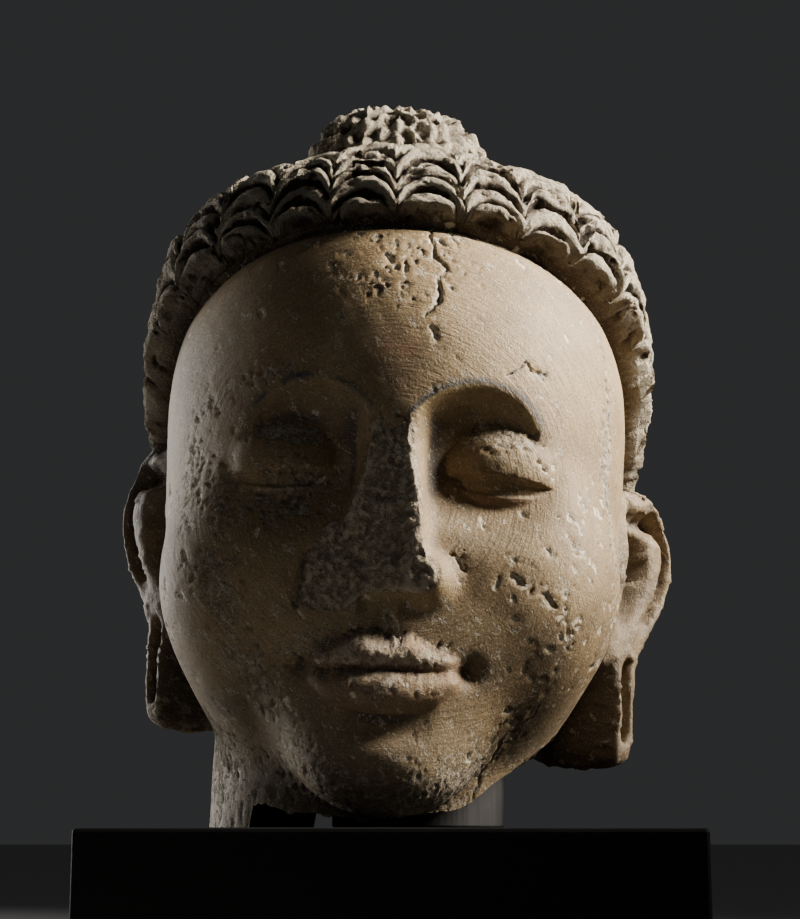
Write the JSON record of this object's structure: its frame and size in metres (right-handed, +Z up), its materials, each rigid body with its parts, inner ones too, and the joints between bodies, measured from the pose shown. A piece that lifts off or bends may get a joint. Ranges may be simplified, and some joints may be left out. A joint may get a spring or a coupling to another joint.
{
  "type": "stucco buddha head",
  "caption": "Stucco buddha head with scalloped hair, topknot and long ears, broken below the jaw and held by a round post on a low square base.",
  "frame": {"origin": "middle of the base's underside, where the part stands", "axes": "+Z up; the face looks along -Y; +X is to the viewer's right"},
  "size_m": [0.2142, 0.2055, 0.3381],
  "materials": {
    "stucco": "matt buff and cream slip, worn through to grey lime plaster, pitted and chipped",
    "post_paint": "dark grey satin paint",
    "base_paint": "black matt paint with slightly rubbed edges"
  },
  "bodies": {
    "root": {"head": "stucco", "mount_post": "post_paint", "mount_base": "base_paint"}
  },
  "joints": []
}
